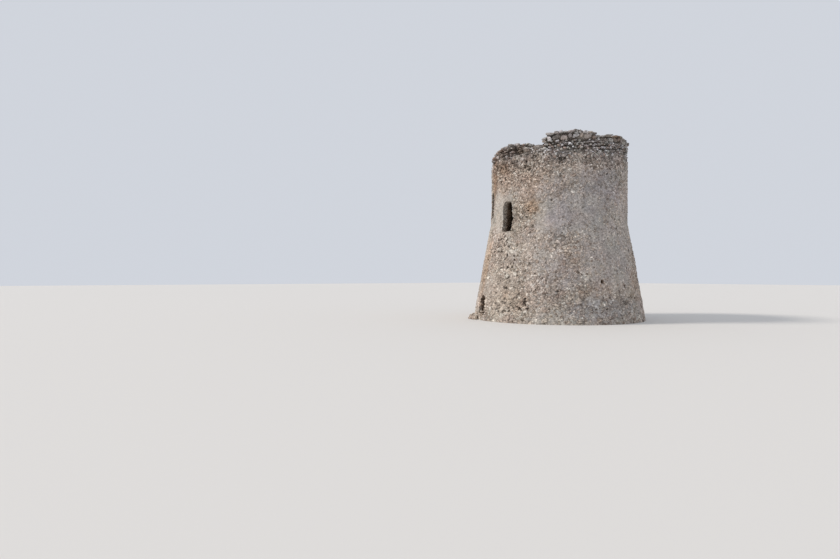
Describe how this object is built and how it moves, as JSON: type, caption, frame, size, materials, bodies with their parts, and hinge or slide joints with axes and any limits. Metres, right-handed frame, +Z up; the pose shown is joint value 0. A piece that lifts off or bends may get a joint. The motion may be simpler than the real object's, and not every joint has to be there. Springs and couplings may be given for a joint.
{
  "type": "round rubble watchtower",
  "caption": "Ruined round coastal watchtower of rubble stone: battered base, upright upper storey with doorway and window, vaulted rooms and a ragged broken crown.",
  "frame": {"origin": "centre of the tower's foot, on the ground at its lowest point", "axes": "+Z up along the tower's axis; the doorway faces -Y, and +X is to the right of a person who faces it"},
  "size_m": [8.72, 8.72, 9.18],
  "materials": {
    "render_stone": "rubble under worn lime render",
    "bare_rubble": "rough bare rubble with open joints",
    "dressed_stone": "worn dressed stone",
    "inner_lime": "rough lime-washed stone",
    "paving": "worn lime concrete and slabs",
    "earth_floor": "packed stony earth"
  },
  "bodies": {
    "root": {"base_wall_front_left": "render_stone", "base_wall_front_right": "render_stone", "base_wall_right_front": "render_stone", "base_wall_right_back": "render_stone", "base_wall_back_right": "render_stone", "base_wall_back_left": "render_stone", "base_wall_left_back": "render_stone", "base_wall_left_front": "render_stone", "breach_rubble": "bare_rubble", "store_floor": "earth_floor", "store_vault": "inner_lime", "store_vault_fill": "inner_lime", "chamber_floor": "paving", "chamber_wall_front": "render_stone", "chamber_wall_front_right": "render_stone", "chamber_wall_right": "render_stone", "chamber_wall_back_right": "render_stone", "chamber_wall_back": "render_stone", "chamber_wall_back_left": "render_stone", "chamber_wall_left": "render_stone", "chamber_wall_front_left": "render_stone", "doorway_arch": "dressed_stone", "doorway_sill": "dressed_stone", "window_arch": "dressed_stone", "window_sill": "dressed_stone", "chamber_vault": "inner_lime", "chamber_vault_fill": "inner_lime", "terrace_floor": "paving", "parapet_front_left": "bare_rubble", "parapet_front_right": "bare_rubble", "parapet_right_front": "bare_rubble", "parapet_right_back": "bare_rubble", "parapet_back_right": "bare_rubble", "parapet_back_left": "bare_rubble", "parapet_left_back": "bare_rubble", "parapet_left_front": "bare_rubble", "crest_front_right": "bare_rubble", "crest_right_back": "bare_rubble", "crest_back_right": "bare_rubble", "crest_back_left": "bare_rubble"}
  },
  "joints": []
}
